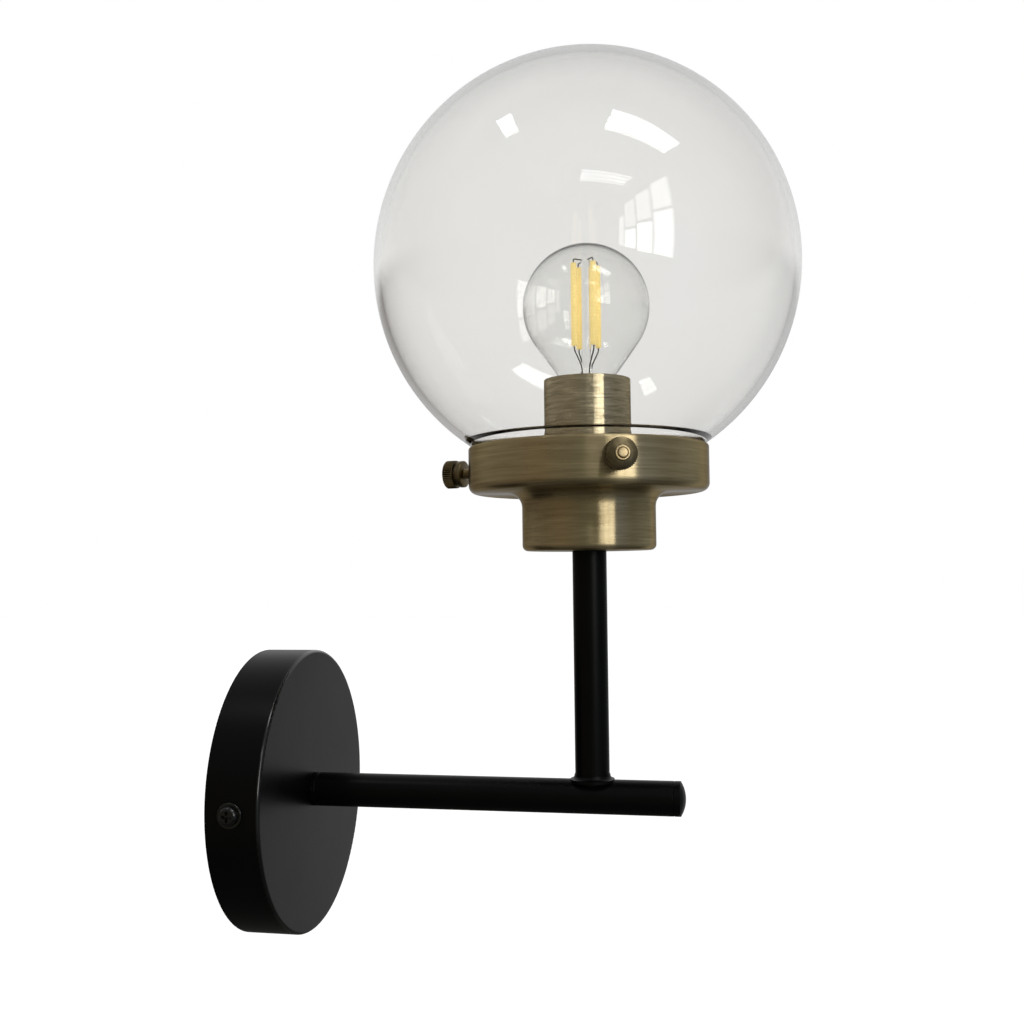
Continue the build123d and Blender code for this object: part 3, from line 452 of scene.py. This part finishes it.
# Lampholder: a base and a body moulded from black thermoset, with a rolled brass screw shell, spring
# contacts and terminals inside. It screws on the stem's nipple, in the sleeve.
dress(moulded("black_thermoset", (0.012, 0.012, 0.012, 1), (0.022, 0.021, 0.020, 1), 0.30, 2600),
      "lampholder_base", "lampholder_body")
dress(bright_brass, "screw_shell", "centre_contact", "side_contact", "lampholder_terminals")
dress(zinc, "lampholder_terminal_screws")

# Bulb cap: a shell rolled from plated sheet, with a black insulator and a blob of solder at its foot.
# The driver board stands inside it.
dress(plated("cap_plate", (0.74, 0.74, 0.73, 1), (0.56, 0.56, 0.55, 1), 0.16), "bulb_cap")
dress(plated("solder", (0.62, 0.62, 0.62, 1), (0.40, 0.40, 0.41, 1), 0.34), "bulb_contact")
dress(moulded("cap_insulator", (0.010, 0.010, 0.014, 1), (0.018, 0.018, 0.024, 1), 0.06, 900),
      "bulb_insulator")
dress(moulded("circuit_board", (0.030, 0.150, 0.060, 1), (0.050, 0.210, 0.090, 1), 0.28, 2400),
      "bulb_driver")

# Bulb: a thin clear envelope blown round a glass mount, which carries four filament sticks on fine wires.
# Its neck is cemented in the cap.
BULB_R, BULB_Z, BULB_NECK_TOP = 22.5, 172.0, 144.6
BULB_NECK_R, BULB_FOOT, BULB_WALL = 8.1, 135.85, 0.42
SHOULDER_ROUNDING, CROWN_SAG = 7.0, 0.018


def envelope(radius, neck, sag):
    """Outline of the envelope or its hollow, from foot to crown; sag lowers the crown by that share."""
    drop = BULB_Z - BULB_NECK_TOP
    slope = acos(radius / sqrt(neck ** 2 + drop ** 2)) - atan2(drop, neck)
    join = (radius * cos(slope), BULB_Z + radius * sin(slope))
    shoulder = rounded((neck, BULB_FOOT), (neck, BULB_NECK_TOP, SHOULDER_ROUNDING), join, (0, join[1]),
                       steps=10)[:-2]
    round_top = arc(0, BULB_Z, radius, degrees(slope), 90, 60)
    crown = [(r, z - sag * max(z - BULB_Z, 0)) for r, z in round_top[:-1]]
    return [*shoulder, *crown, (0, BULB_Z + radius * (1 - sag))]


def clear_glass(name, tint, ripple):
    """Clear blown glass, with the slow ripple and faint dust of its surface."""
    finish = Finish(name)
    where = finish.place()
    wave = finish.grain(where, 26, 1)
    dust = finish.grain(where, 420, 4)
    return finish.surface({
        "Base Color": tint,
        "Transmission Weight": 1.0,
        "IOR": 1.47,
        "Roughness": 0.012 * dust ** 4,
        "Normal": finish.dent(wave, ripple, 0.002),
    })


bulb_hollow = envelope(BULB_R - BULB_WALL, BULB_NECK_R - BULB_WALL, CROWN_SAG)
bulb_glass = turned("blown_envelope", envelope(BULB_R, BULB_NECK_R, 0) + bulb_hollow[::-1], on_stem, 160)
thin_glass = clear_glass("bulb_glass", (0.985, 0.987, 0.98, 1), 0.004)
fitted(bulb_glass, thin_glass, "bulb", "bulb_glass", "bulb_glass")

FLARE_R, FLARE_RIM, PINCH_R, PINCH_Z = 7.35, 0.8, 3.0, 144.85
ROD_R, ROD_FOOT, ROD_TIP = 1.6, 151.0, 189.6
mount = turned("glass_mount", rounded(
    (0, BULB_FOOT), (FLARE_R, BULB_FOOT), (FLARE_R, BULB_FOOT + FLARE_RIM), (PINCH_R, PINCH_Z, 4.0),
    (ROD_R, ROD_FOOT, 3.0), (ROD_R, ROD_TIP, 0.8), (0, ROD_TIP)), on_stem, 64)
fitted(mount, thin_glass, "bulb", "bulb_glass", "bulb_mount_stem")

FILAMENT_AZIMUTHS = (39.5, 129.5, 219.5, 309.5)
FILAMENT_RING, FILAMENT_FOOT, FILAMENT_TIP = 5.0, 157.9, 187.9
FILAMENT_R, FILAMENT_END, CHIPS, CHIP_STEPS, CHIP_SWELL, CHIP_PITCH = 1.05, 0.4, 24, 4, 0.05, 1.25


def joined(name, parts, sharp=40):
    """One object from several sets of points and faces, in millimetres."""
    points, faces = [], []
    for part_points, part_faces in parts:
        faces += [tuple(len(points) + k for k in face) for face in part_faces]
        points += part_points
    return piece(name, points, faces, on_stem, sharp)


def closed_tube(rings, sides):
    """Faces of a tube with closed ends, whose points lie ring after ring."""
    faces = []
    last = (rings - 1) * sides
    for start in range(0, last, sides):
        for k in range(sides):
            after = (k + 1) % sides
            faces.append((start + k, start + after, start + sides + after, start + sides + k))
    return faces + [tuple(range(sides)), tuple(range(last, last + sides))]


def stick(azimuth, outline, sides):
    """Points and faces of a rod turned about an upright line on the filaments' ring."""
    turn = radians(azimuth)
    centre = (FILAMENT_RING * cos(turn), FILAMENT_RING * sin(turn))
    points = [(centre[0] + r * cos(FULL_TURN * k / sides), centre[1] + r * sin(FULL_TURN * k / sides), z)
              for r, z in outline for k in range(sides)]
    return points, closed_tube(len(outline), sides)


def phosphor_coat_with_painted_glow():
    """Yellow phosphor in silicone, thicker over each chip, with a faint painted glow on the unlit
    filaments.
    """
    finish = Finish("phosphor_coat_with_painted_glow")
    where = finish.place()
    z = finish.node("ShaderNodeSeparateXYZ", {}, {0: where}, "Z")
    chips = finish.node("ShaderNodeMath", {"operation": "SINE"}, {0: z * (FULL_TURN / (CHIP_PITCH * MM))})
    cloud = finish.grain(where, 900, 3)
    return finish.surface({
        "Base Color": finish.blend(0.5 + 0.2 * chips + 0.4 * (cloud - 0.5), (1.0, 0.82, 0.32, 1),
                                   (0.98, 0.68, 0.16, 1)),
        "Roughness": 0.30 + 0.25 * cloud,
        # Painted glow: the filaments give off a little light of their own, though the bulb is not lit.
        "Emission Color": (1.0, 0.80, 0.34, 1),
        "Emission Strength": 0.55,
        "Normal": finish.dent(chips, 0.15, 0.0002),
    })


chip_rise = (FILAMENT_TIP - FILAMENT_FOOT - 2 * FILAMENT_END) / (CHIPS * CHIP_STEPS)
coated = [(FILAMENT_R + CHIP_SWELL * cos(FULL_TURN * k / CHIP_STEPS),
           FILAMENT_FOOT + FILAMENT_END + chip_rise * k) for k in range(CHIPS * CHIP_STEPS + 1)]
stick_outline = [(0.5, FILAMENT_FOOT), (0.9, FILAMENT_FOOT + 0.15), *coated,
                 (0.9, FILAMENT_TIP - 0.15), (0.5, FILAMENT_TIP)]
sticks = [stick(azimuth, stick_outline, 20) for azimuth in FILAMENT_AZIMUTHS]
filaments = joined("filament_sticks", sticks, 60)
fitted(filaments, phosphor_coat_with_painted_glow(), "bulb", "filament_phosphor", "bulb_filaments")


def wire(azimuth, path, radius, sides=10):
    """Points and faces of a wire through points given as (out from the bulb's axis, height)."""
    turn = radians(azimuth)
    points = []
    for i, (out, height) in enumerate(path):
        before, after = path[max(i - 1, 0)], path[min(i + 1, len(path) - 1)]
        along = Vector((after[0] - before[0], after[1] - before[1])).normalized()
        for k in range(sides):
            side, up = radius * cos(FULL_TURN * k / sides), radius * sin(FULL_TURN * k / sides)
            r, h = out - along.y * up, height + along.x * up
            points.append((r * cos(turn) - side * sin(turn), r * sin(turn) + side * cos(turn), h))
    return points, closed_tube(len(path), sides)


LEAD_R, HOOK_R, HOOK_Z = 0.25, 0.6, 188.7
upper_lead = [(FILAMENT_RING, FILAMENT_TIP - 0.1), (FILAMENT_RING, HOOK_Z),
              *arc(FILAMENT_RING - HOOK_R, HOOK_Z, HOOK_R, 10, 80, 5),
              (3.6, HOOK_Z + HOOK_R), (ROD_R + 0.05, HOOK_Z + HOOK_R)]
lower_lead = [(FILAMENT_RING, FILAMENT_FOOT + 0.1), (FILAMENT_RING, 157.0), (4.86, 156.4),
              (2.7, 152.4), (2.2, 151.2), (1.2, 146.4)]
leads = joined("lead_wires", [wire(azimuth, path, LEAD_R) for azimuth in FILAMENT_AZIMUTHS
                              for path in (upper_lead, lower_lead)])
drawn_wire = plated("drawn_wire", (0.34, 0.33, 0.31, 1), (0.16, 0.155, 0.15, 1), 0.28)
fitted(leads, drawn_wire, "bulb", "lead_metal", "bulb_lead_wires")

# Globe: a ball of clear glass blown with a straight neck, which stands on the gallery's step.
# The neck's wall ends in a ledge inside the ball, and its cut rim is fire-polished.
GLOBE_R, GLOBE_Z, GLOBE_WALL = 75.0, 185.47, 2.3
GLOBE_NECK_R, NECK_MIDDLE, LIP_ROUNDING, THROAT_R = 39.5, 112.0, 0.6, 6.0
GLOBE_IN, GLOBE_NECK_IN = GLOBE_R - GLOBE_WALL, GLOBE_NECK_R - GLOBE_WALL
LEDGE_R, LEDGE_Z, LEDGE_FOOT = 40.2, 125.5, 122.9


def ball_round(radius, first):
    """Outline of the ball from an angle below its middle up to its crown."""
    return [*arc(0, GLOBE_Z, radius, first, 90, 120)[:-1], (0, GLOBE_Z + radius)]


throat_centre = GLOBE_NECK_R + THROAT_R
throat_drop = sqrt((GLOBE_R + THROAT_R) ** 2 - throat_centre ** 2)
throat_turn = degrees(atan2(throat_drop, -throat_centre))
ledge_turn = degrees(atan2(LEDGE_Z - GLOBE_Z, sqrt(GLOBE_IN ** 2 - (GLOBE_Z - LEDGE_Z) ** 2)))
lip = rounded((GLOBE_NECK_IN, NECK_MIDDLE), (GLOBE_NECK_IN, GLOBE_FOOT, LIP_ROUNDING),
              (GLOBE_NECK_R, GLOBE_FOOT, LIP_ROUNDING), (GLOBE_NECK_R, NECK_MIDDLE))[1:-1]
throat = arc(throat_centre, GLOBE_Z - throat_drop, THROAT_R, 180, throat_turn, 16)
ledge = rounded((GLOBE_NECK_IN, NECK_MIDDLE), (GLOBE_NECK_IN, LEDGE_FOOT, 2.0), (LEDGE_R, LEDGE_Z, 0.5),
                (GLOBE_R, LEDGE_Z), steps=8)[1:-1]
globe_outline = [*lip, *throat, *ball_round(GLOBE_R, throat_turn - 180)[1:],
                 *ball_round(GLOBE_IN, ledge_turn)[::-1], *ledge[::-1]]
globe = turned("blown_globe", globe_outline, on_stem, sides=256, sharp=60)
globe_glass = clear_glass("globe_glass", (0.93, 0.925, 0.912, 1), 0.006)
fitted(globe, globe_glass, "globe", "globe_glass", "glass_globe", "glass_neck")

# Wires: brown live and blue neutral from the terminal block through the arm and the stem to the lampholder,
# and a green and yellow earth wire to the bracket's lug; all are soft insulated conductors.


def insulation(name, colour, second, stripe):
    """Soft wire insulation, with a second colour in stripes where it has one."""
    finish = Finish(name)
    where = finish.place()
    x, z = [finish.node("ShaderNodeSeparateXYZ", {}, {0: where}, axis) for axis in "XZ"]
    band = finish.node("ShaderNodeMath", {"operation": "SINE"}, {0: (x + 0.35 * z) * stripe})
    cloud = finish.grain(where, 500, 2)
    return finish.surface({
        "Base Color": finish.blend(0.5 + 6.0 * band + 0.3 * (cloud - 0.5), colour, second),
        "Roughness": 0.36 + 0.14 * cloud,
        "Normal": finish.dent(cloud, 0.06, 0.0001),
    })


dress(insulation("live_insulation", (0.17, 0.062, 0.028, 1), (0.14, 0.050, 0.022, 1), 900), "live_wire")
dress(insulation("neutral_insulation", (0.030, 0.13, 0.42, 1), (0.024, 0.105, 0.36, 1), 900),
      "neutral_wire")
dress(insulation("earth_insulation", (0.08, 0.32, 0.04, 1), (0.72, 0.60, 0.05, 1), 2800), "earth_wire")

# Studio: a pale floor well below the lamp and a white background, a window to the right of the camera,
# ceiling panels, and round them a grey tent of cloth that only mirrored rays meet, for metal and glass.
FLOOR_Z, FLOOR_HALF, FLOOR_GLOW = -0.42, 12.0, 0.45
WHITE, BLACK, AMBIENT = (1, 1, 1, 1), (0, 0, 0, 1), (0.7, 0.7, 0.7, 1)


def rays_that_see(finish):
    """1 for rays that show the background: straight from the camera, mirrored, or through glass."""
    camera, glossy, through = [finish.node("ShaderNodeLightPath", {}, {}, f"Is {kind} Ray")
                               for kind in ("Camera", "Glossy", "Transmission")]
    return camera + glossy + through


studio = bpy.data.worlds.new("white_studio")
bpy.context.scene.world = studio
air = Finish("white_studio", studio)
sky_colour = air.blend(rays_that_see(air), AMBIENT, WHITE)
sky = air.node("ShaderNodeBackground", {}, {"Color": sky_colour, "Strength": 1.0})
air.node("ShaderNodeOutputWorld", {}, {"Surface": sky})

paper = Finish("pale_paper")
fibre = paper.grain(paper.place(), 900, 3)
floor_mesh = bpy.data.meshes.new("floor")
floor_corners = [(x * FLOOR_HALF, y * FLOOR_HALF, FLOOR_Z) for x, y in ((-1, -1), (1, -1), (1, 1), (-1, 1))]
floor_mesh.from_pydata(floor_corners, [], [(0, 1, 2, 3)])
floor_mesh.materials.append(paper.surface({
    "Base Color": paper.blend(fibre, (0.86, 0.86, 0.85, 1), (0.90, 0.90, 0.89, 1)),
    "Roughness": 0.7,
    "Emission Color": paper.blend(rays_that_see(paper), BLACK, WHITE),
    "Emission Strength": FLOOR_GLOW,
}))
floor = bpy.data.objects.new("floor", floor_mesh)
bpy.context.scene.collection.objects.link(floor)
floor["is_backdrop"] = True


def light(name, centre, facing, size, radiance, colour):
    """Rectangular light, its width level, at a place in metres."""
    data = bpy.data.lights.new(name, "AREA")
    data.shape, data.size, data.size_y = "RECTANGLE", *size
    data.energy, data.color = radiance * pi * size[0] * size[1], colour
    made = bpy.data.objects.new(name, data)
    bpy.context.scene.collection.objects.link(made)
    turn = (-Vector(facing)).to_track_quat("Z", "Y")
    made.matrix_world = Matrix.Translation(centre) @ turn.to_matrix().to_4x4()
    made.visible_camera = False


WINDOW_Y, DAYLIGHT = -1.03, (1.0, 0.985, 0.95)
WINDOW_PANES = (
    (-1.98, -1.78, 0.10, 0.60, 2.4), (-1.74, -1.42, 0.08, 0.36, 5.0), (-1.74, -1.42, 0.40, 0.80, 2.0),
    (-1.37, -1.06, 0.06, 0.42, 5.8), (-1.37, -1.06, 0.46, 0.84, 2.4), (-1.02, -0.72, 0.06, 0.52, 4.2),
    (-1.02, -0.72, 0.55, 0.88, 2.8))
for pane, (left, right, low, high, radiance) in enumerate(WINDOW_PANES):
    middle = ((left + right) / 2, WINDOW_Y, (low + high) / 2)
    light(f"window_pane_{pane}", middle, (0, 1, 0), (right - left, high - low), radiance, DAYLIGHT)

CEILING_Z, PANEL_TUBES, TUBE_WHITE = 1.5, 3, (0.97, 0.99, 1.0)
CEILING_PANELS = (
    (-0.60, -0.88, 0.36, 0.86, 0.27, 7.0), (-2.05, -0.84, 0.46, 1.0, 0.19, 4.6),
    (-0.48, 0.54, 0.38, 0.17, 0.24, 6.0))
for panel, (x, y, width, length, share, radiance) in enumerate(CEILING_PANELS):
    for tube in range(PANEL_TUBES):
        middle = (x + width * ((tube + 0.5) / PANEL_TUBES - 0.5), y, CEILING_Z)
        size = (share * width, length)
        light(f"ceiling_tube_{panel}_{tube}", middle, (0, 0, -1), size, radiance, TUBE_WHITE)

LAMP_MIDDLE = Vector((0, -0.12, 0.12))
TENT_FRONT = radians(191.7)
TENT_R, TENT_FOOT, TENT_SKIRT = 3400, -400, -8.8
NEAR_FLOOR, CROWN_GREY = (0.07, 0.07, 0.065, 1), (0.45, 0.45, 0.45, 1)
cloth = Finish("tent_cloth")
apart = cloth.node("ShaderNodeVectorMath", {"operation": "SUBTRACT"}, {0: cloth.place(), 1: LAMP_MIDDLE})
x, y, z = [cloth.node("ShaderNodeSeparateXYZ", {}, {0: apart}, axis) for axis in "XYZ"]
to_front = x * cos(TENT_FRONT) + y * sin(TENT_FRONT)
to_right = y * cos(TENT_FRONT) - x * sin(TENT_FRONT)
turn = to_right.math("ARCTAN2", to_right, to_front)


def hangings(*stops):
    """Cloth round the lamp, from the tent's back past its left, front and right to its back again."""
    return cloth.node("ShaderNodeValToRGB", {"stops": [(place, (*colour, 1)) for place, colour in stops]},
                      {"Fac": 0.5 + turn / FULL_TURN}, "Color")


lower_cloth = hangings(
    (0.00, (0.56, 0.56, 0.56)), (0.05, (0.48, 0.47, 0.46)), (0.11, (0.19, 0.175, 0.16)),
    (0.16, (0.14, 0.126, 0.11)), (0.37, (0.215, 0.177, 0.128)), (0.458, (0.18, 0.18, 0.15)),
    (0.53, (0.25, 0.25, 0.21)), (0.57, (0.20, 0.22, 0.23)), (0.63, (0.24, 0.28, 0.36)),
    (0.708, (0.155, 0.165, 0.155)), (0.833, (0.20, 0.22, 0.23)), (0.87, (0.46, 0.46, 0.46)),
    (0.92, (0.60, 0.60, 0.60)), (1.00, (0.56, 0.56, 0.56)))
upper_cloth = hangings(
    (0.00, (0.96, 0.96, 0.96)), (0.10, (0.94, 0.94, 0.93)), (0.15, (0.82, 0.82, 0.80)),
    (0.20, (0.48, 0.47, 0.45)), (0.26, (0.26, 0.25, 0.23)), (0.333, (0.26, 0.24, 0.21)),
    (0.50, (0.20, 0.20, 0.19)), (0.667, (0.24, 0.25, 0.26)), (0.74, (0.30, 0.30, 0.31)),
    (0.80, (0.52, 0.52, 0.52)), (0.85, (0.84, 0.84, 0.84)), (0.90, (0.94, 0.94, 0.94)),
    (1.00, (0.96, 0.96, 0.96)))

# The lower cloth turns into the upper one from 0.56 to 0.85 m above the lamp's middle.
# The tent's own floor is dark out to 0.6 m and fades by 1.1 m, and towards its crown it turns plain grey.
high_up = 3.4 * z - 1.9
close_in = 2.2 - 2.0 * (x * x + y * y) ** 0.5
overhead = 0.3 * z - 0.1
walls = cloth.blend(close_in, cloth.blend(high_up, lower_cloth, upper_cloth), NEAR_FLOOR)
shade = cloth.node("ShaderNodeEmission", {}, {"Color": cloth.blend(overhead, walls, CROWN_GREY)})
clear = cloth.node("ShaderNodeBsdfTransparent", {}, {})
mirrored = cloth.node("ShaderNodeLightPath", {}, {}, "Glossy Depth")
meets_tent = mirrored.math("MINIMUM", mirrored, 1.0)
tent_shader = cloth.node("ShaderNodeMixShader", {}, {0: meets_tent, 1: clear, 2: shade})
cloth.node("ShaderNodeOutputMaterial", {}, {"Surface": tent_shader})
cloth.owner.cycles.emission_sampling = "NONE"
tent_middle = LAMP_MIDDLE.z / MM
tent_outline = [(0, TENT_FOOT), *arc(0, tent_middle, TENT_R, TENT_SKIRT, 89, 40), (0, tent_middle + TENT_R)]
tent = turned("grey_tent", tent_outline, on_stem, 96)
tent.data.materials.append(cloth.owner)
tent.visible_camera = tent.visible_diffuse = tent.visible_shadow = False
tent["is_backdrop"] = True

# Camera: at the lamp's left side, just below the gallery's foot and as near as the photograph's perspective
# shows. Its angles are in degrees about X, Y and Z.
CAMERA_PLACE = Vector((-0.41451, -0.17951, 0.07826))
CAMERA_ANGLES = (92.90975, 0.61594, -78.25128)
view = bpy.data.cameras.new("photo_view")
view.lens, view.sensor_width, view.sensor_fit = 41.71, 36, "HORIZONTAL"
view.clip_start, view.clip_end = 0.01, 50
camera = bpy.data.objects.new("photo_view", view)
bpy.context.scene.collection.objects.link(camera)
camera_turn = Euler([radians(angle) for angle in CAMERA_ANGLES])
camera.matrix_world = Matrix.LocRotScale(CAMERA_PLACE, camera_turn, None)
bpy.context.scene.camera = camera
bpy.context.scene.view_settings.view_transform = "Standard"

low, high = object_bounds()
